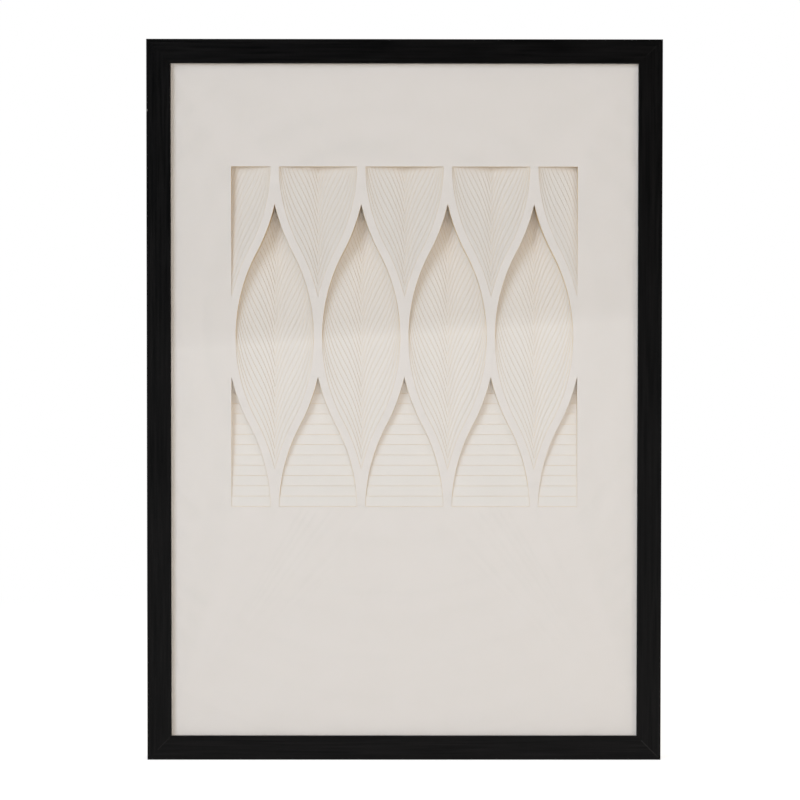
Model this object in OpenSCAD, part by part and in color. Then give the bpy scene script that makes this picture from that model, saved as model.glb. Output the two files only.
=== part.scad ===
// Framed shadow box that holds a relief of stacked, cut paper sheets.
// The front faces -Y, the back hangs against a wall at +Y, and +Z is up.
// The origin is at the middle of the bottom edge, at half the depth.

/* [Frame] */
// Outer width of the frame
frame_w = 500; // [480:10:600]
// Outer height of the frame
frame_h = 700; // [680:10:900]
// Depth of the frame, from its face to the wall
frame_d = 35; // [33:1:50]
// Width of a rail, seen from the front
face_w = 23.5; // [22:0.5:32]
// Width of the lip in front of the glazing
lip_w = 6; // [5:0.5:6]
// Thickness of the lip
lip_t = 3.5; // [3:0.5:5]
// Radius of the eased edges of a rail's face
edge_r = 1; // [0.5:0.25:1.5]

/* [Glazing and backing] */
// Thickness of the glazing
glazing_t = 2; // [1.5:0.5:3]
// Thickness of the backing board
backing_t = 3; // [2:0.5:4]
// Room left at each side of the glazing, the sheets and the board in the rabbet
rabbet_gap = 1; // [0.5:0.5:2]

/* [Paper relief] */
// Width of the relief
art_w = 336; // [288:12:384]
// Height of the relief
art_h = 330; // [300:2:360]
// Height of the relief's bottom edge above the bottom of the frame
art_z = 247; // [180:1:290]
// Number of ogee cells side by side
columns = 4; // [4:1:5]
// Width of the paper rib between two cells
rib_w = 8.5; // [7:0.5:10]
// How far each opening rises over the one in front of it
step_h = 10; // [9:0.5:14]
// Thickness of one sheet
sheet_t = 0.7; // [0.5:0.05:0.7]

/* [Fasteners] */
// Height of the hanger plates' middle above the bottom of the frame
hanger_z = 600; // [450:5:620]
// Radius of the keyhole's entry, which a wall screw's head passes
entry_r = 4.5; // [4:0.25:4.5]
// Width of the keyhole's slot, which holds the wall screw's neck
slot_w = 4.2; // [3.5:0.1:4.5]

/* [Hidden] */
$fn = 120;
past = 1;
wood_color = [0.09, 0.09, 0.09];
glass_color = [0.85, 0.9, 0.9, 0.3];
paper_color = [0.87, 0.85, 0.81];
board_color = [0.55, 0.42, 0.3];
steel_color = [0.72, 0.72, 0.73];

// Layers from the face to the wall
back_w = face_w - lip_w;
front_y = -frame_d / 2;
back_y = frame_d / 2;
glazing_y = front_y + lip_t;
paper_y = glazing_y + glazing_t;
pack_w = frame_w - 2 * back_w - 2 * rabbet_gap;
pack_h = frame_h - 2 * back_w - 2 * rabbet_gap;

// Ogee cell: ribs of one radius whose arcs meet on 8-15-17 triangles
cell_w = art_w / columns;
cell_h = 4 * cell_w;
rib_r = 17 / 8 * cell_w;
belly_r = rib_r - rib_w / 2;
belly_x = rib_r - cell_w / 2;
tip_r = rib_r + rib_w / 2;
turn_x = 15 / 17 * belly_r - belly_x;
turn_z = 8 / 17 * belly_r;
tip_z = cell_h / 2 - sqrt(tip_r * tip_r - rib_r * rib_r);
art_mid = art_z + art_h / 2;
half_drop_reach = tip_z + art_h / 2 - cell_h / 2;
full_cells = [for (i = [0 : columns - 1]) [(i + 0.5) * cell_w - art_w / 2, art_mid]];
half_cells = [
    for (i = [0 : columns], end = [-1, 1]) [i * cell_w - art_w / 2, art_mid + end * cell_h / 2]
];

// The stack has a cut sheet for each step up the cell, and one uncut sheet behind them
cut_sheets = floor(2 * tip_z / step_h) + 1;
backing_y = paper_y + (cut_sheets + 1) * sheet_t;

// Flat points that hold the backing board
point_y = backing_y + backing_t;
point_t = 0.6;
point_w = 8;
point_out = 10;
point_in = 7;
point_taper = 5;
points_up = [0.2, 0.5, 0.8];
points_across = [0.28, 0.72];

// V-nails across the mitres, set in from the back
nail_t = 0.6;
nail_leg = 5;
nail_d = 10;
nail_places = [4, 10];
corners = [[-1, 0, 0], [1, 0, 90], [1, 1, 180], [-1, 1, 270]];

// Keyhole hanger plates, flush with the backs of the side rails
plate_w = 13;
plate_h = 44;
plate_t = 1.5;
slot_rise = 11;
entry_drop = 4;
pocket_w = 9.5;
pocket_d = 9;
pocket_top = slot_rise + pocket_w / 2;
screw_z = 17;
screw_r = 1.5;
screw_head_r = 3;
screw_l = 12;
drive_w = 0.8;
drive_l = 3.6;
drive_d = 0.9;

function sheet_name(k) = k == 0 ? "front_sheet" : str("cut_sheet_", k < 9 ? "0" : "", k + 1);

// Stands an outline drawn in X and Z upright, from y to y + thickness
module upright(y, thickness)
    translate([0, y + thickness, 0]) rotate([90, 0, 0]) linear_extrude(thickness) children();

module quarter_disc(r)
    intersection() {
        circle(r);
        square(2 * r);
    }

module half_disc(r)
    intersection() {
        circle(r);
        translate([-2 * r, 0]) square([4 * r, 2 * r]);
    }

// A bar with two round ends, upright and centred
module stadium(w, h) {
    straight = h - w;
    square([w, straight], center = true);
    for (turn = [0, 180]) rotate(turn) translate([0, straight / 2]) half_disc(w / 2);
}

// Section of a rail: depth along X, from the outer edge inwards along Y
module rail_profile()
    translate([front_y, 0]) {
        polygon([
            [0, edge_r], [edge_r, edge_r], [edge_r, 0],
            [frame_d, 0], [frame_d, back_w],
            [lip_t, back_w], [lip_t, face_w],
            [edge_r, face_w], [edge_r, face_w - edge_r], [0, face_w - edge_r]
        ]);
        translate([edge_r, edge_r]) rotate(180) quarter_disc(edge_r);
        translate([edge_r, face_w - edge_r]) rotate(90) quarter_disc(edge_r);
    }

// A rail along X with its outer edge at z = 0 and a mitre at each end
module mitred_rail(length) {
    low = length / 2 + past;
    high = length / 2 - face_w - past;
    intersection() {
        rotate([90, 0, 90]) linear_extrude(length + 2 * past, center = true) rail_profile();
        upright(front_y - past, frame_d + 2 * past)
            polygon([[-low, -past], [low, -past], [high, face_w + past], [-high, face_w + past]]);
    }
}

module rail_bottom()
    color(wood_color) difference() {
        mitred_rail(frame_w);
        corner_v_nails();
        framer_points();
    }

module rail_top()
    color(wood_color) difference() {
        translate([0, 0, frame_h]) rotate([0, 180, 0]) mitred_rail(frame_w);
        corner_v_nails();
        framer_points();
    }

// A side rail, with the room that its hanger plate and screws take up
module side_rail(side)
    difference() {
        translate([side * frame_w / 2, 0, frame_h / 2]) rotate([0, -side * 90, 0]) mitred_rail(frame_h);
        corner_v_nails();
        framer_points();
        at_hanger(side) {
            upright(back_y - plate_t, plate_t + past) stadium(plate_w, plate_h);
            upright(back_y - plate_t - pocket_d, pocket_d + past) key_pocket();
        }
        hanger_screws();
    }

module rail_left() color(wood_color) side_rail(-1);
module rail_right() color(wood_color) side_rail(1);

// What lies in the rabbet stands on the bottom rail
module packed_sheet(y, thickness)
    upright(y, thickness) difference() {
        translate([-pack_w / 2, back_w]) square([pack_w, pack_h]);
        children();
    }

module glazing() color(glass_color) packed_sheet(glazing_y, glazing_t);

// One cell between the ribs, about its own centre
module ogee_cell() {
    intersection() {
        translate([-belly_x, 0]) circle(belly_r);
        translate([belly_x, 0]) circle(belly_r);
        square([cell_w, 2 * turn_z], center = true);
    }
    for (end = [-1, 1])
        difference() {
            polygon([[-turn_x, end * turn_z], [turn_x, end * turn_z], [0, end * cell_h / 2]]);
            for (side = [-1, 1]) translate([side * rib_r, end * cell_h / 2]) circle(tip_r);
        }
}

module art_area() translate([-art_w / 2, art_z]) square([art_w, art_h]);

// Each opening is the front sheet's opening met with its own copy moved up
module openings(lift) {
    for (cell = full_cells)
        translate(cell) intersection() {
            ogee_cell();
            translate([0, lift]) ogee_cell();
        }
    if (lift < half_drop_reach)
        for (cell = half_cells)
            intersection() {
                translate(cell) ogee_cell();
                translate(cell + [0, lift]) ogee_cell();
                art_area();
                translate([0, lift]) art_area();
            }
}

module cut_sheet(k) color(paper_color) packed_sheet(paper_y + k * sheet_t, sheet_t) openings(k * step_h);

module base_sheet() color(paper_color) packed_sheet(paper_y + cut_sheets * sheet_t, sheet_t);

module backing_board() color(board_color) packed_sheet(backing_y, backing_t);

// A flat point that enters the rail along -X and bears on the board along +X
module point_outline()
    polygon([
        [-point_in, 0], [point_taper - point_in, point_w / 2], [point_out, point_w / 2],
        [point_out, -point_w / 2], [point_taper - point_in, -point_w / 2]
    ]);

module framer_points()
    color(steel_color) upright(point_y, point_t) {
        for (side = [-1, 1], up = points_up)
            translate([side * (frame_w / 2 - back_w), up * frame_h])
                rotate(side < 0 ? 0 : 180) point_outline();
        for (end = [0, 1], across = points_across)
            translate([(across - 0.5) * frame_w, end == 0 ? back_w : frame_h - back_w])
                rotate(end == 0 ? 90 : 270) point_outline();
    }

// Two legs at right angles, one in each rail of the corner
module v_nail_outline()
    polygon([
        [0, 0], [nail_leg, 0], [nail_leg, nail_t], [nail_t, nail_t], [nail_t, nail_leg], [0, nail_leg]
    ]);

module corner_v_nails()
    color(steel_color) upright(back_y - nail_d, nail_d)
        for (corner = corners, inset = nail_places)
            translate([corner.x * (frame_w / 2 - inset), corner.y == 0 ? inset : frame_h - inset])
                rotate(corner.z) v_nail_outline();

module at_hanger(side) translate([side * (frame_w - back_w) / 2, 0, hanger_z]) children();

// Entry hole with the slot that rises from it
module keyhole()
    translate([0, -entry_drop]) {
        circle(entry_r);
        translate([-slot_w / 2, 0]) square([slot_w, slot_rise]);
        translate([0, slot_rise]) half_disc(slot_w / 2);
    }

// Room behind the plate for the head of the wall screw
module key_pocket()
    translate([-pocket_w / 2, -entry_drop - pocket_w / 2]) square([pocket_w, pocket_top + pocket_w / 2]);

module hanger_plate(side)
    at_hanger(side) difference() {
        upright(back_y - plate_t, plate_t) difference() {
            stadium(plate_w, plate_h);
            keyhole();
        }
        for (end = [-1, 1]) translate([0, back_y - plate_t, end * screw_z]) screw_head();
    }

module hanger_plate_left() color(steel_color) hanger_plate(-1);
module hanger_plate_right() color(steel_color) hanger_plate(1);

// Countersunk head, with its narrow end at the origin and its flat towards +Y
module screw_head() rotate([-90, 0, 0]) cylinder(h = plate_t, r1 = screw_r, r2 = screw_head_r);

module hanger_screw()
    difference() {
        union() {
            screw_head();
            rotate([90, 0, 0]) cylinder(h = screw_l - screw_r, r = screw_r);
            translate([0, screw_r - screw_l, 0]) rotate([90, 0, 0]) cylinder(h = screw_r, r1 = screw_r, r2 = 0);
        }
        for (turn = [0, 90])
            rotate([0, turn, 0]) translate([-drive_l / 2, plate_t - drive_d, -drive_w / 2])
                cube([drive_l, drive_d + past, drive_w]);
    }

module hanger_screws()
    color(steel_color)
        for (side = [-1, 1], end = [-1, 1])
            at_hanger(side) translate([0, back_y - plate_t, end * screw_z]) hanger_screw();

rail_top();
rail_bottom();
rail_left();
rail_right();
glazing();
for (k = [0 : cut_sheets - 1])
    cut_sheet(k);
base_sheet();
backing_board();
framer_points();
corner_v_nails();
hanger_plate_left();
hanger_plate_right();
hanger_screws();
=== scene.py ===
# Dresses the framed paper relief: stacked, cut ivory sheets behind glass in a black wooden frame
import math

import bpy
import numpy as np
from mathutils import Euler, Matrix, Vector
from mathutils.geometry import delaunay_2d_cdt


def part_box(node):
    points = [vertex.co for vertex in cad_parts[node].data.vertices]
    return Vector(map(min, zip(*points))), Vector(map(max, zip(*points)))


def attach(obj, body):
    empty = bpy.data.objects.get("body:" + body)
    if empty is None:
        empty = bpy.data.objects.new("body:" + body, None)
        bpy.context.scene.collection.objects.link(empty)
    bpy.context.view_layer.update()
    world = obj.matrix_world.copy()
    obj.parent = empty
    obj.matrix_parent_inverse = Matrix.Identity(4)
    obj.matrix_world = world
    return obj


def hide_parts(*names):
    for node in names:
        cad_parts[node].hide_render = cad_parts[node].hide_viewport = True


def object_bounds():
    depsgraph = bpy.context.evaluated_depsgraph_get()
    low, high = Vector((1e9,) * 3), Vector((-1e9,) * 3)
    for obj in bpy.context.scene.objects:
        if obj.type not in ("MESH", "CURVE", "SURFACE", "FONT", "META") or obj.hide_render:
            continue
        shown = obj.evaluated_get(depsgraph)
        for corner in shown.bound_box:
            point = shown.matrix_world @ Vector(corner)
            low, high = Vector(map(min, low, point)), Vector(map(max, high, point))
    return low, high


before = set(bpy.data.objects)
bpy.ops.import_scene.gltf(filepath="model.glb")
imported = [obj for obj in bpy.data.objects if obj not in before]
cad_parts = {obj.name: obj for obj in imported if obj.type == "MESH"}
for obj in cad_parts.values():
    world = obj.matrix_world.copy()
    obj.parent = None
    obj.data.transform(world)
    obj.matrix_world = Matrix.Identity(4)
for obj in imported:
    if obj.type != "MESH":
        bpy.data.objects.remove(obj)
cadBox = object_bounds()
scene = bpy.context.scene
scene.view_settings.view_transform = "Standard"
mm = 0.001


def linear(hexColour):
    # sRGB hex to linear red, green, blue and alpha
    srgb = np.array([int(hexColour[i:i + 2], 16) for i in (1, 3, 5)]) / 255
    rgb = np.where(srgb <= 0.04045, srgb / 12.92, ((srgb + 0.055) / 1.055) ** 2.4)
    return (*rgb.tolist(), 1.0)


def addNode(tree, kind, settings, inputs):
    # A node with its own settings; an input takes a value, or a link from another node's output
    node = tree.nodes.new(kind)
    for name, value in settings.items():
        setattr(node, name, value)
    for name, value in inputs.items():
        if isinstance(value, bpy.types.NodeSocket):
            tree.links.new(value, node.inputs[name])
        else:
            node.inputs[name].default_value = value
    return node


def emptyMaterial(name):
    # A material whose tree holds nothing yet
    material = bpy.data.materials.new(name)
    material.use_nodes = True
    material.node_tree.nodes.clear()
    return material, material.node_tree


def triangleObject(name, vertices, triangles):
    # A mesh object from whole arrays of vertices and triangles
    mesh = bpy.data.meshes.new(name)
    mesh.vertices.add(len(vertices))
    mesh.vertices.foreach_set("co", np.asarray(vertices, np.float32).ravel())
    mesh.loops.add(3 * len(triangles))
    mesh.loops.foreach_set("vertex_index", np.asarray(triangles, np.int32).ravel())
    mesh.polygons.add(len(triangles))
    mesh.polygons.foreach_set("loop_start", np.arange(0, 3 * len(triangles), 3, dtype=np.int32))
    mesh.update(calc_edges=True)
    mesh.shade_flat()
    piece = bpy.data.objects.new(name, mesh)
    scene.collection.objects.link(piece)
    return piece


# Cotton paper, mould-made and cut with a blade: a matt ivory face with a faint tooth and a cloudy
# formation, painted paler from sheet to sheet inwards to lift the shade in the recesses, and a warmer core
# that shows along the cuts
paperFinish = dict(face="#e4dfdb", cloud="#e1dcd7", paintedDeepLight="#ede7e1", core="#e8d2b1",
                   cloudSize=22 * mm, cloudDetail=3.0,
                   toothSize=1.1 * mm, toothDetail=4.0, toothGrit=0.65,
                   toothHeight=0.03 * mm, toothBump=0.6, rough=0.9, specular=0.15)


def cottonPaper():
    material, tree = emptyMaterial("cottonPaper")
    place = addNode(tree, "ShaderNodeTexCoord", {}, {})
    cloud = addNode(tree, "ShaderNodeTexNoise", {}, {
        "Vector": place.outputs["Object"], "Scale": 1 / paperFinish["cloudSize"],
        "Detail": paperFinish["cloudDetail"]})
    face = addNode(tree, "ShaderNodeMix", {"data_type": "RGBA"}, {
        0: cloud.outputs[0], 6: linear(paperFinish["face"]), 7: linear(paperFinish["cloud"])})
    axes = addNode(tree, "ShaderNodeSeparateXYZ", {}, {0: place.outputs["Object"]})
    # Painted light: the deeper a sheet lies, the paler it is painted, to lift the shade that gathers in the
    # recesses
    depth = addNode(tree, "ShaderNodeMapRange", {}, {
        "Value": axes.outputs["Y"], "From Min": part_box("front_sheet")[0].y,
        "From Max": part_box("base_sheet")[1].y})
    sheet = addNode(tree, "ShaderNodeMix", {"data_type": "RGBA"}, {
        0: depth.outputs[0], 6: face.outputs[2], 7: linear(paperFinish["paintedDeepLight"])})
    cut = addNode(tree, "ShaderNodeAttribute", {"attribute_name": "cutEdge"}, {})
    colour = addNode(tree, "ShaderNodeMix", {"data_type": "RGBA"}, {
        0: cut.outputs["Fac"], 6: sheet.outputs[2], 7: linear(paperFinish["core"])})
    # The tooth is drawn coarser than the real 0.3 mm, which would not show
    tooth = addNode(tree, "ShaderNodeTexNoise", {}, {
        "Vector": place.outputs["Object"], "Scale": 1 / paperFinish["toothSize"],
        "Detail": paperFinish["toothDetail"], "Roughness": paperFinish["toothGrit"]})
    bump = addNode(tree, "ShaderNodeBump", {}, {
        "Height": tooth.outputs[0], "Strength": paperFinish["toothBump"],
        "Distance": paperFinish["toothHeight"]})
    shader = addNode(tree, "ShaderNodeBsdfPrincipled", {}, {
        "Base Color": colour.outputs[2], "Roughness": paperFinish["rough"],
        "Specular IOR Level": paperFinish["specular"], "Normal": bump.outputs[0]})
    addNode(tree, "ShaderNodeOutputMaterial", {}, {"Surface": shader.outputs[0]})
    return material


# Open-pored ash, stained black and rubbed to a satin: near black, with fine lighter streaks along
# the rail where the stain thins on the hard grain, and short pores that break the sheen
ashFinish = dict(dark="#020202", light="#111010",
                 bandWidth=2.2 * mm, bandLength=85 * mm, bandDetail=4.0, bandGrit=0.6,
                 bandRange=(0.36, 0.68),
                 poreWidth=0.9 * mm, poreLength=26 * mm, poreDetail=3.0, poreGrit=0.7,
                 poreRange=(0.35, 0.65), poreDepth=0.12 * mm, poreBump=0.5,
                 rough=(0.28, 0.42), specular=0.09)
# Small wear: the stain has rubbed thin along three mitres, and a chip in the left edge shows bare wood.
# Each mitre has its side, its end of the frame, the stretch of X that is worn and how bare it is
ashWear = dict(bare="#696764", mitreLine=0.6 * mm,
               mitres=[("right", "bottom", 231 * mm, 247 * mm, 0.085),
                       ("left", "bottom", 228 * mm, 240 * mm, 0.055),
                       ("right", "top", 234 * mm, 244 * mm, 0.037)],
               chip=(-249.4 * mm, -17.0 * mm, 631 * mm), chipRadius=1.1 * mm)


def stainedAsh(name, along):
    # The grain runs along one axis of the frame: X in the top and bottom rails, Z at the sides
    material, tree = emptyMaterial(name)
    place = addNode(tree, "ShaderNodeTexCoord", {}, {})
    grains = {}
    for grain in ("band", "pore"):
        scale = [1 / ashFinish[grain + "Width"]] * 3
        scale[along] = 1 / ashFinish[grain + "Length"]
        stretched = addNode(tree, "ShaderNodeMapping", {}, {
            "Vector": place.outputs["Object"], "Scale": scale})
        grains[grain] = addNode(tree, "ShaderNodeTexNoise", {}, {
            "Vector": stretched.outputs[0], "Scale": 1.0, "Detail": ashFinish[grain + "Detail"],
            "Roughness": ashFinish[grain + "Grit"]}).outputs[0]
    tone = addNode(tree, "ShaderNodeMapRange", {}, {
        "Value": grains["band"], "From Min": ashFinish["bandRange"][0],
        "From Max": ashFinish["bandRange"][1]})
    stain = addNode(tree, "ShaderNodeMix", {"data_type": "RGBA"}, {
        0: tone.outputs[0], 6: linear(ashFinish["dark"]), 7: linear(ashFinish["light"])})
    axes = addNode(tree, "ShaderNodeSeparateXYZ", {}, {0: place.outputs["Object"]})
    fromChip = addNode(tree, "ShaderNodeVectorMath", {"operation": "DISTANCE"}, {
        0: place.outputs["Object"], 1: ashWear["chip"]})
    worn = addNode(tree, "ShaderNodeMath", {"operation": "LESS_THAN"}, {
        0: fromChip.outputs["Value"], 1: ashWear["chipRadius"]})
    # On a mitre, the distances from the middle line and from the frame's near end add up to half its width
    for side, end, start, stop, share in ashWear["mitres"]:
        outwards = 1 if side == "right" else -1
        inwards = 1 if end == "bottom" else -1
        across = addNode(tree, "ShaderNodeVectorMath", {"operation": "DOT_PRODUCT"}, {
            0: place.outputs["Object"], 1: (outwards, 0, inwards)})
        onMitre = addNode(tree, "ShaderNodeMath", {"operation": "COMPARE"}, {
            0: across.outputs["Value"], 1: cadBox[1][0] - (end == "top") * cadBox[1][2],
            2: ashWear["mitreLine"]})
        onStretch = addNode(tree, "ShaderNodeMath", {"operation": "COMPARE"}, {
            0: axes.outputs["X"], 1: outwards * (start + stop) / 2, 2: (stop - start) / 2})
        rubbed = addNode(tree, "ShaderNodeMath", {"operation": "MULTIPLY"}, {
            0: onMitre.outputs[0], 1: onStretch.outputs[0]})
        worn = addNode(tree, "ShaderNodeMath", {"operation": "MULTIPLY_ADD"}, {
            0: rubbed.outputs[0], 1: share, 2: worn.outputs[0]})
    colour = addNode(tree, "ShaderNodeMix", {"data_type": "RGBA"}, {
        0: worn.outputs[0], 6: stain.outputs[2], 7: linear(ashWear["bare"])})
    sheen = addNode(tree, "ShaderNodeMapRange", {}, {
        "Value": grains["pore"], "From Min": ashFinish["poreRange"][0],
        "From Max": ashFinish["poreRange"][1],
        "To Min": ashFinish["rough"][1], "To Max": ashFinish["rough"][0]})
    bump = addNode(tree, "ShaderNodeBump", {}, {
        "Height": grains["pore"], "Strength": ashFinish["poreBump"], "Distance": ashFinish["poreDepth"]})
    shader = addNode(tree, "ShaderNodeBsdfPrincipled", {}, {
        "Base Color": colour.outputs[2], "Roughness": sheen.outputs[0],
        "Specular IOR Level": ashFinish["specular"], "Normal": bump.outputs[0]})
    addNode(tree, "ShaderNodeOutputMaterial", {}, {"Surface": shader.outputs[0]})
    return material


# Float glass, 2 mm: clear and smooth, with only its faint reflection to show, which a slow ripple from
# the float bath bends a little
glassFinish = dict(tint="#fbfdfc", index=1.5, rippleSize=90 * mm, rippleDetail=1.0, rippleHeight=0.02 * mm)


def floatGlass():
    material, tree = emptyMaterial("floatGlass")
    place = addNode(tree, "ShaderNodeTexCoord", {}, {})
    ripple = addNode(tree, "ShaderNodeTexNoise", {}, {
        "Vector": place.outputs["Object"], "Scale": 1 / glassFinish["rippleSize"],
        "Detail": glassFinish["rippleDetail"]})
    bump = addNode(tree, "ShaderNodeBump", {}, {
        "Height": ripple.outputs[0], "Strength": 1.0, "Distance": glassFinish["rippleHeight"]})
    shader = addNode(tree, "ShaderNodeBsdfPrincipled", {}, {
        "Base Color": linear(glassFinish["tint"]), "Roughness": 0.0, "IOR": glassFinish["index"],
        "Transmission Weight": 1.0, "Normal": bump.outputs[0]})
    addNode(tree, "ShaderNodeOutputMaterial", {}, {"Surface": shader.outputs[0]})
    return material


# Hardboard: pressed brown wood fibre, with darker flecks, slow clouds and a dull sheen
hardboardFinish = dict(base="#8b6a49", fleck="#5d432b",
                       fleckSize=1.6 * mm, fleckDetail=5.0, fleckGrit=0.7, fleckRange=(0.42, 0.85),
                       cloudSize=60 * mm, cloudDetail=2.0, cloudShare=0.12,
                       fibreDepth=0.05 * mm, fibreBump=0.5, rough=0.62, specular=0.35)


def hardboard():
    material, tree = emptyMaterial("hardboard")
    place = addNode(tree, "ShaderNodeTexCoord", {}, {})
    fleck = addNode(tree, "ShaderNodeTexNoise", {}, {
        "Vector": place.outputs["Object"], "Scale": 1 / hardboardFinish["fleckSize"],
        "Detail": hardboardFinish["fleckDetail"], "Roughness": hardboardFinish["fleckGrit"]})
    cloud = addNode(tree, "ShaderNodeTexNoise", {}, {
        "Vector": place.outputs["Object"], "Scale": 1 / hardboardFinish["cloudSize"],
        "Detail": hardboardFinish["cloudDetail"]})
    both = addNode(tree, "ShaderNodeMath", {"operation": "MULTIPLY_ADD"}, {
        0: cloud.outputs[0], 1: hardboardFinish["cloudShare"], 2: fleck.outputs[0]})
    amount = addNode(tree, "ShaderNodeMapRange", {}, {
        "Value": both.outputs[0], "From Min": hardboardFinish["fleckRange"][0],
        "From Max": hardboardFinish["fleckRange"][1]})
    colour = addNode(tree, "ShaderNodeMix", {"data_type": "RGBA"}, {
        0: amount.outputs[0], 6: linear(hardboardFinish["base"]), 7: linear(hardboardFinish["fleck"])})
    bump = addNode(tree, "ShaderNodeBump", {}, {
        "Height": fleck.outputs[0], "Strength": hardboardFinish["fibreBump"],
        "Distance": hardboardFinish["fibreDepth"]})
    shader = addNode(tree, "ShaderNodeBsdfPrincipled", {}, {
        "Base Color": colour.outputs[2], "Roughness": hardboardFinish["rough"],
        "Specular IOR Level": hardboardFinish["specular"], "Normal": bump.outputs[0]})
    addNode(tree, "ShaderNodeOutputMaterial", {}, {"Surface": shader.outputs[0]})
    return material


# Zinc-plated steel, stamped and then barrel-plated: a cool grey metal with soft spangled patches
zincFinish = dict(bright="#c3c5c8", dull="#9a9da1", patchSize=2.5 * mm, patchDetail=3.0, rough=(0.28, 0.46))


def zincSteel():
    material, tree = emptyMaterial("zincSteel")
    place = addNode(tree, "ShaderNodeTexCoord", {}, {})
    patch = addNode(tree, "ShaderNodeTexNoise", {}, {
        "Vector": place.outputs["Object"], "Scale": 1 / zincFinish["patchSize"],
        "Detail": zincFinish["patchDetail"]})
    colour = addNode(tree, "ShaderNodeMix", {"data_type": "RGBA"}, {
        0: patch.outputs[0], 6: linear(zincFinish["bright"]), 7: linear(zincFinish["dull"])})
    rough = addNode(tree, "ShaderNodeMapRange", {}, {
        "Value": patch.outputs[0], "To Min": zincFinish["rough"][0], "To Max": zincFinish["rough"][1]})
    shader = addNode(tree, "ShaderNodeBsdfPrincipled", {}, {
        "Base Color": colour.outputs[2], "Metallic": 1.0, "Roughness": rough.outputs[0]})
    addNode(tree, "ShaderNodeOutputMaterial", {}, {"Surface": shader.outputs[0]})
    return material


paper = cottonPaper()
nodeFinishes = {
    stainedAsh("stainedAshAcross", 0): ["rail_top", "rail_bottom"],
    stainedAsh("stainedAshUpright", 2): ["rail_left", "rail_right"],
    floatGlass(): ["glazing"],
    paper: ["base_sheet"],
    hardboard(): ["backing_board"],
    zincSteel(): ["framer_points", "corner_v_nails", "hanger_plate_left", "hanger_plate_right",
                  "hanger_screws"],
}
for finish, names in nodeFinishes.items():
    for name in names:
        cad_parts[name].data.materials.clear()
        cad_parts[name].data.materials.append(finish)
# Light reaches the paper straight through the pane, which only the eye sees reflecting
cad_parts["glazing"].visible_shadow = False
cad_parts["glazing"].visible_diffuse = False
print("finishes on", sum(len(names) for names in nodeFinishes.values()), "solids")

# The relief in the paper: an ogee lattice whose openings rise one step on each sheet behind the first.
# A cell is so many times as tall as it is wide, and spacing is that of the points along a cut
relief = dict(width=336 * mm, height=330 * mm, bottom=247 * mm, columns=4, tall=4, rib=8.5 * mm,
              step=10 * mm, sheets=26, spacing=4 * mm, seed=11)
# Where a sheet's cut edge hangs free, it springs forward, more on a straight slat, in a slow wave and by
# another amount each time. It dies out at the edge's ends by a power, or over a share of the edge, and
# below the edge in pairs: the share of the spring that is left, and the steps down. Each sheet's openings
# lie up to the shift away from their place
spring = dict(cell=0.3 * mm, slat=0.45 * mm, amount=(0.5, 1.3), waves=(0.5, 1.5), waveMean=0.65,
              waveSwing=0.35, endPower=4, endShare=0.25, fade=((0.4, 0.5), (0.0, 1.0)), shift=0.2 * mm)
# The blade leaves each cut a little open to the front, so its core shows as a fine line
cutSlope = 0.22 * mm

# A rib's middle line is two arcs that swap sides at a quarter of the cell's height and width, which gives
# their radius. The cell's own edge lies half a rib inside them
cellWidth = relief["width"] / relief["columns"]
cellHeight = relief["tall"] * cellWidth
ribRadius = (relief["tall"] ** 2 + 1) / 8 * cellWidth
bellyRadius = ribRadius - relief["rib"] / 2
bellyCentre = ribRadius - cellWidth / 2
tipRadius = ribRadius + relief["rib"] / 2
turnHeight = 2 * relief["tall"] / (relief["tall"] ** 2 + 1) * bellyRadius
tipHeight = cellHeight / 2 - math.sqrt(tipRadius ** 2 - ribRadius ** 2)
windowHalf = relief["height"] / 2
reliefMiddle = relief["bottom"] + windowHalf


def halfWidth(z):
    # Half the width of a cell at height z from its middle: the arc of its own belly up to the turn,
    # then the arc of the neighbour's belly, one rib away, which draws in to the tip
    height = np.abs(z)
    belly = np.sqrt(np.maximum(bellyRadius ** 2 - height ** 2, 0)) - bellyCentre
    tip = ribRadius - np.sqrt(np.maximum(tipRadius ** 2 - (cellHeight / 2 - height) ** 2, 0))
    return np.where(height < turnHeight, belly, np.where(height < tipHeight, tip, 0))


def heights(low, high):
    # Evenly spaced heights from low to high, about one spacing apart
    return np.linspace(low, high, max(3, int(round((high - low) / relief["spacing"])) + 1))


def halfOutline(row, lift):
    # Right half of an opening, about the cell's middle: its free lower edge from the centre line
    # outwards, and the rest of it from there up to the centre line again. Each opening is what
    # the front sheet's cell and its copy, moved up by the lift, have in common
    if row == 0:
        low = heights(lift - tipHeight, lift / 2)
        high = heights(lift / 2, tipHeight)[1:]
        free = np.column_stack([halfWidth(low - lift), low])
        rest = np.column_stack([halfWidth(high), high])
    elif row > 0:
        top = windowHalf - cellHeight / 2
        low = heights(lift - tipHeight, top)
        free = np.column_stack([halfWidth(low - lift), low])
        rest = np.array([[0, top]])
    else:
        bottom = cellHeight / 2 - windowHalf + lift
        high = heights(bottom, tipHeight)
        across = heights(0, float(halfWidth(bottom)))
        free = np.column_stack([across, np.full(len(across), bottom)])
        rest = np.column_stack([halfWidth(high), high])[1:]
    return free, rest


def fullOutline(row, side, lift):
    # A whole opening: its free edge, the rest of it, and the run along the free edge, from 0 on the
    # centre line to 1 at its end, or -1 on the left. At the window's sides it is one half alone
    free, rest = halfOutline(row, lift)
    along = np.linspace(0, 1, len(free))
    if side:
        return free * [side, 1], rest * [side, 1], along
    free = np.vstack([free[:0:-1] * [-1, 1], free])
    along = np.concatenate([-along[:0:-1], along])
    tipped = rest[rest[:, 0] > 0]
    rest = np.vstack([rest, tipped[::-1] * [-1, 1]]) if len(tipped) else rest[:0]
    return free, rest, along


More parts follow.
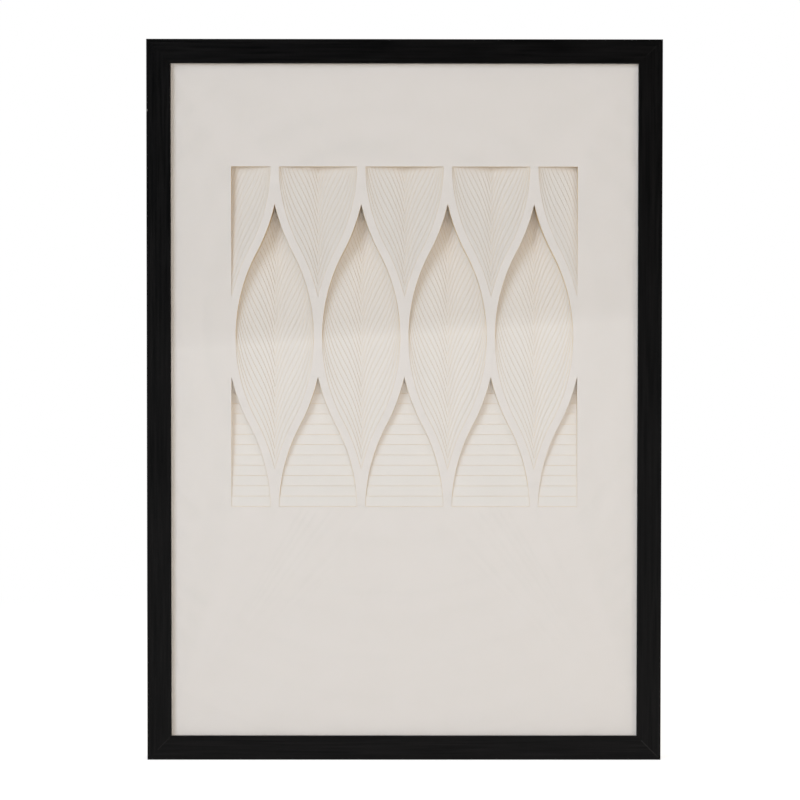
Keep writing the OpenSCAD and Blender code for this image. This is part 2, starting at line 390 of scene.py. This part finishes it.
def openings(lift):
    # Each opening's row, column position and side: whole cells, and half or quarter ones at the
    # window's edge
    cells = [(0, (i + 0.5) * cellWidth - relief["width"] / 2, 0) for i in range(relief["columns"])]
    if lift < tipHeight + windowHalf - cellHeight / 2:
        for i in range(relief["columns"] + 1):
            side = 1 if i == 0 else -1 if i == relief["columns"] else 0
            x = i * cellWidth - relief["width"] / 2
            cells += [(1, x, side), (-1, x, side)]
    return cells


def springForward(row, side, along, dice):
    # How far a free edge comes forward: a slow wave that dies out at the edge's outer ends by a power of
    # the run, and at a half opening's inner end, on the centre line, over a share of it
    wave = spring["waveMean"] + spring["waveSwing"] * np.sin(
        math.pi * dice.uniform(*spring["waves"]) * along + dice.uniform(0, 2 * math.pi))
    reach = spring["slat"] if row < 0 else spring["cell"]
    comes = reach * dice.uniform(*spring["amount"]) * (1 - along ** spring["endPower"]) * wave
    return comes * np.minimum(1, np.abs(along) / spring["endShare"]) if side else comes


def sheetLines(low, high, index, cells, shift, dice):
    # The lines that a sheet's triangles keep to: its outline, its openings and, behind the front sheet, the
    # lines below each free edge where the spring fades. Each has its points in the sheet's plane, how far
    # they come forward and whether it closes
    outline = np.array([[low.x, low.z], [high.x, low.z], [high.x, high.z], [low.x, high.z]])
    lines = [(outline, np.zeros(len(outline)), True)]
    for row, x, side in cells:
        free, rest, along = fullOutline(row, side, index * relief["step"])
        origin = np.array([x, reliefMiddle + row * cellHeight / 2]) + shift * (side == 0)
        comes = springForward(row, side, along, dice) * (index > 0)
        lines.append((np.vstack([free, rest]) + origin, np.concatenate([comes, np.zeros(len(rest))]), True))
        if index > 0:
            for share, drop in spring["fade"]:
                lines.append((free + origin - np.array([0, relief["step"]]) * drop, comes * share, False))
    return lines


def triangulate(lines):
    # From the lines of a sheet: points, how far each comes forward, and triangles that turn the same way
    points = np.vstack([line for line, comes, closed in lines]) / mm
    forward = np.concatenate([comes for line, comes, closed in lines])
    edges = []
    count = 0
    for line, comes, closed in lines:
        run = count + np.arange(len(line))
        edges.append(np.column_stack([run, np.roll(run, -1)])[:len(line) if closed else -1])
        count += len(line)
    tolerance = 1e-4  # In mm, as the points are here
    found = delaunay_2d_cdt([Vector(p) for p in points.tolist()], np.vstack(edges).tolist(), [], 0,
                            tolerance)
    flat = np.array([v[:] for v in found[0]]) * mm
    triangles = np.array(found[2])
    forward = forward[[ids[0] if ids else 0 for ids in found[3]]]
    corners = flat[triangles]
    first = corners[:, 1] - corners[:, 0]
    second = corners[:, 2] - corners[:, 0]
    turned = first[:, 0] * second[:, 1] < first[:, 1] * second[:, 0]
    triangles[turned] = triangles[turned][:, ::-1]
    return flat, forward, triangles


def inOpening(points, cells, shift, lift):
    # Whether each point of a sheet's plane lies in one of its openings
    inside = np.zeros(len(points), bool)
    for row, x, side in cells:
        moved = shift * (side == 0)
        dx = np.abs(points[:, 0] - x - moved[0])
        dz = points[:, 1] - reliefMiddle - row * cellHeight / 2 - moved[1]
        within = dx < np.minimum(halfWidth(dz), halfWidth(dz - lift))
        fromMiddle = dz + row * cellHeight / 2
        within &= (fromMiddle < windowHalf) & (fromMiddle > lift - windowHalf)
        if side:
            within &= side * (points[:, 0] - x) > 0
        inside |= within
    return inside


def thicken(flat, forward, triangles, faceY, thickness):
    # A closed solid from a flat sheet: its front, its back and, along each cut, a wall of two triangles
    # for every edge that one triangle alone has. The walls come last
    total = len(flat)
    front = np.column_stack([flat[:, 0], faceY - forward, flat[:, 1]])
    back = front + [0, thickness, 0]
    sides = np.vstack([triangles[:, [0, 1]], triangles[:, [1, 2]], triangles[:, [2, 0]]])
    keys = sides[:, 0] * total + sides[:, 1]
    a, b = sides[~np.isin(keys, sides[:, 1] * total + sides[:, 0])].T
    # In front, an opening's edge draws back into the paper, at right angles to the cut
    run = flat[b] - flat[a]
    inward = np.column_stack([-run[:, 1], run[:, 0]]) / np.linalg.norm(run, axis=1)[:, None]
    inward *= np.abs(flat[a][:, :1]) <= relief["width"] / 2 + spring["shift"]
    draw = np.zeros_like(flat)
    np.add.at(draw, a, inward)
    np.add.at(draw, b, inward)
    draw /= np.maximum(np.linalg.norm(draw, axis=1), 1e-9)[:, None]
    front[:, [0, 2]] += draw * cutSlope
    walls = np.vstack([np.column_stack([a, a + total, b + total]), np.column_stack([a, b + total, b])])
    return np.vstack([front, back]), np.vstack([triangles, triangles[:, ::-1] + total, walls])


def cutSheet(name, index, dice):
    # A sheet in its node's place, triangulated in its plane between its outline and its openings
    low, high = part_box(name)
    lift = index * relief["step"]
    cells = openings(lift)
    shift = dice.uniform(-1, 1, 2) * spring["shift"] * (index > 0)
    flat, forward, triangles = triangulate(sheetLines(low, high, index, cells, shift, dice))
    triangles = triangles[~inOpening(flat[triangles].mean(axis=1), cells, shift, lift)]
    used, triangles = np.unique(triangles, return_inverse=True)
    triangles = triangles.reshape(-1, 3)
    vertices, faces = thicken(flat[used], forward[used], triangles, low.y, high.y - low.y)
    piece = triangleObject(name + "_paper", vertices, faces)
    cut = piece.data.attributes.new("cutEdge", "FLOAT", "FACE")
    cut.data.foreach_set("value", (np.arange(len(faces)) >= 2 * len(triangles)).astype(np.float32))
    piece.data.materials.append(paper)
    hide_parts(name)
    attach(piece, "root")
    return len(faces)


dice = np.random.default_rng(relief["seed"])
sheetNames = ["front_sheet"] + [f"cut_sheet_{k:02d}" for k in range(2, relief["sheets"] + 1)]
faceCount = sum(cutSheet(name, k, dice) for k, name in enumerate(sheetNames))
print("paper sheets", len(sheetNames), "triangles", faceCount)

# White floor and surroundings. What the eye sees of them, straight or in the glass, is white, while
# the light that they throw on the object stays plain. Away from the object the floor fades to that white
studio = dict(white="#ffffff", floorSize=60.0, floorShade="#dcdcdc", floorGlow=0.72, fadeFrom=0.7,
              fadeTo=1.6, ambient=0.35, ambientTint="#fff5ea")


def seenDirectly(tree):
    # 1 for a ray from the eye, a mirror image or a view through glass, and 0 for light bounced about
    path = addNode(tree, "ShaderNodeLightPath", {}, {})
    either = addNode(tree, "ShaderNodeMath", {"operation": "MAXIMUM"}, {
        0: path.outputs["Is Camera Ray"], 1: path.outputs["Is Glossy Ray"]})
    return addNode(tree, "ShaderNodeMath", {"operation": "MAXIMUM"}, {
        0: either.outputs[0], 1: path.outputs["Is Transmission Ray"]}).outputs[0]


def paintedFloor():
    material, tree = emptyMaterial("paintedFloor")
    shade = addNode(tree, "ShaderNodeBsdfDiffuse", {}, {"Color": linear(studio["floorShade"])})
    glow = addNode(tree, "ShaderNodeMath", {"operation": "MULTIPLY"}, {
        0: seenDirectly(tree), 1: studio["floorGlow"]})
    light = addNode(tree, "ShaderNodeEmission", {}, {"Strength": glow.outputs[0]})
    near = addNode(tree, "ShaderNodeAddShader", {}, {0: shade.outputs[0], 1: light.outputs[0]})
    place = addNode(tree, "ShaderNodeTexCoord", {}, {})
    reach = addNode(tree, "ShaderNodeVectorMath", {"operation": "LENGTH"}, {0: place.outputs["Object"]})
    fade = addNode(tree, "ShaderNodeMapRange", {"interpolation_type": "SMOOTHSTEP"}, {
        "Value": reach.outputs["Value"], "From Min": studio["fadeFrom"], "From Max": studio["fadeTo"]})
    white = addNode(tree, "ShaderNodeMath", {"operation": "MULTIPLY"}, {
        0: fade.outputs[0], 1: seenDirectly(tree)})
    far = addNode(tree, "ShaderNodeEmission", {}, {"Strength": 1.0})
    both = addNode(tree, "ShaderNodeMixShader", {}, {
        0: white.outputs[0], 1: near.outputs[0], 2: far.outputs[0]})
    addNode(tree, "ShaderNodeOutputMaterial", {}, {"Surface": both.outputs[0]})
    return material


def stageBoard(name, corners, material):
    # A flat four-cornered board of the stage
    board = triangleObject(name, corners, [[0, 1, 2], [0, 2, 3]])
    board.data.materials.append(material)
    return board


half = studio["floorSize"] / 2
floor = stageBoard("floor", [[-half, -half, 0], [half, -half, 0], [half, half, 0], [-half, half, 0]],
                   paintedFloor())

world = bpy.data.worlds.new("studioWorld")
scene.world = world
world.use_nodes = True
worldTree = world.node_tree
worldTree.nodes.clear()
brightness = addNode(worldTree, "ShaderNodeMapRange", {}, {
    "Value": seenDirectly(worldTree), "To Min": studio["ambient"], "To Max": 1.0})
skyTint = addNode(worldTree, "ShaderNodeMix", {"data_type": "RGBA"}, {
    0: seenDirectly(worldTree), 6: linear(studio["ambientTint"]), 7: linear(studio["white"])})
sky = addNode(worldTree, "ShaderNodeBackground", {}, {
    "Color": skyTint.outputs[2], "Strength": brightness.outputs[0]})
addNode(worldTree, "ShaderNodeOutputWorld", {}, {"Surface": sky.outputs[0]})

# A black card behind the camera keeps the white surroundings out of the glass in its upper half, as the
# dark end of a studio does. It is solid above its edge, which hangs a little aslant, and thin below it
flag = dict(shade="#060606", y=-3.0, low=0.15, high=3.2, halfWidth=2.6, edge=0.418, slope=0.065, soft=0.018,
            thin=0.05)


def blackCard():
    material, tree = emptyMaterial("blackCard")
    shade = addNode(tree, "ShaderNodeBsdfDiffuse", {}, {"Color": linear(flag["shade"])})
    clear = addNode(tree, "ShaderNodeBsdfTransparent", {}, {})
    place = addNode(tree, "ShaderNodeTexCoord", {}, {})
    axes = addNode(tree, "ShaderNodeSeparateXYZ", {}, {0: place.outputs["Object"]})
    height = addNode(tree, "ShaderNodeMath", {"operation": "MULTIPLY_ADD"}, {
        0: axes.outputs["X"], 1: -flag["slope"], 2: axes.outputs["Z"]})
    thin = addNode(tree, "ShaderNodeMapRange", {}, {
        "Value": height.outputs[0], "From Min": flag["low"], "From Max": flag["edge"],
        "To Max": flag["thin"]})
    solid = addNode(tree, "ShaderNodeMapRange", {}, {
        "Value": height.outputs[0], "From Min": flag["edge"] - flag["soft"],
        "From Max": flag["edge"] + flag["soft"], "To Max": 1 - flag["thin"]})
    cover = addNode(tree, "ShaderNodeMath", {"operation": "ADD"}, {0: thin.outputs[0], 1: solid.outputs[0]})
    both = addNode(tree, "ShaderNodeMixShader", {}, {
        0: cover.outputs[0], 1: clear.outputs[0], 2: shade.outputs[0]})
    addNode(tree, "ShaderNodeOutputMaterial", {}, {"Surface": both.outputs[0]})
    return material


card = stageBoard("blackCard", [[-flag["halfWidth"], flag["y"], flag["low"]],
                                [-flag["halfWidth"], flag["y"], flag["high"]],
                                [flag["halfWidth"], flag["y"], flag["high"]],
                                [flag["halfWidth"], flag["y"], flag["low"]]], blackCard())
card.visible_camera = False
card.visible_diffuse = False
card.visible_shadow = False

# One large lamp at the upper left in front, weak ones opposite, low and straight in front, and one for
# the back. Only the large one shows as a gleam on the wood, and none of them shows in the glass
lamps = {
    "keyLamp": dict(place=(-5.4, -6.9, 3.4), aim=(0, 0, 0.35), size=3.9, watts=350, tint="#dcecff"),
    "fillLamp": dict(place=(2.6, -3.4, 0.6), aim=(0, 0, 0.35), size=2.0, watts=20, tint="#fff0de"),
    "floorLamp": dict(place=(0, -0.65, 0.05), aim=(0, 0, 0.2), size=1.0, watts=1.2, tint="#fff5ea"),
    "backLamp": dict(place=(1.6, 4.6, 2.2), aim=(0, 0, 0.35), size=2.0, watts=95, tint="#fffaf2"),
    "frontLamp": dict(place=(0.2, -4.5, 0.6), aim=(0, 0, 0.35), size=1.2, watts=40, tint="#fff5ea"),
}
for name, lamp in lamps.items():
    light = bpy.data.lights.new(name, "AREA")
    light.size = lamp["size"]
    light.energy = lamp["watts"]
    light.color = linear(lamp["tint"])[:3]
    holder = bpy.data.objects.new(name, light)
    holder.location = lamp["place"]
    beam = Vector(lamp["aim"]) - Vector(lamp["place"])
    holder.rotation_euler = beam.to_track_quat("-Z", "Y").to_euler()
    holder.visible_glossy = name == "keyLamp"
    holder.visible_transmission = False
    scene.collection.objects.link(holder)

# The photographer's place: level with the middle of the relief and nearly square to it
camera = dict(place=(-0.0145, -2.6046, 0.4229), turn=0.226, tilt=-1.597, roll=0.044, lens=120.0,
              sensor=36.0)
cameraData = bpy.data.cameras.new("camera")
cameraData.lens = camera["lens"]
cameraData.sensor_width = camera["sensor"]
cameraObject = bpy.data.objects.new("camera", cameraData)
cameraObject.location = camera["place"]
cameraTurns = (90 + camera["tilt"], -camera["roll"], -camera["turn"])
cameraObject.rotation_euler = Euler([math.radians(angle) for angle in cameraTurns])
scene.collection.objects.link(cameraObject)
scene.camera = cameraObject
print("stage, lamps and camera set")
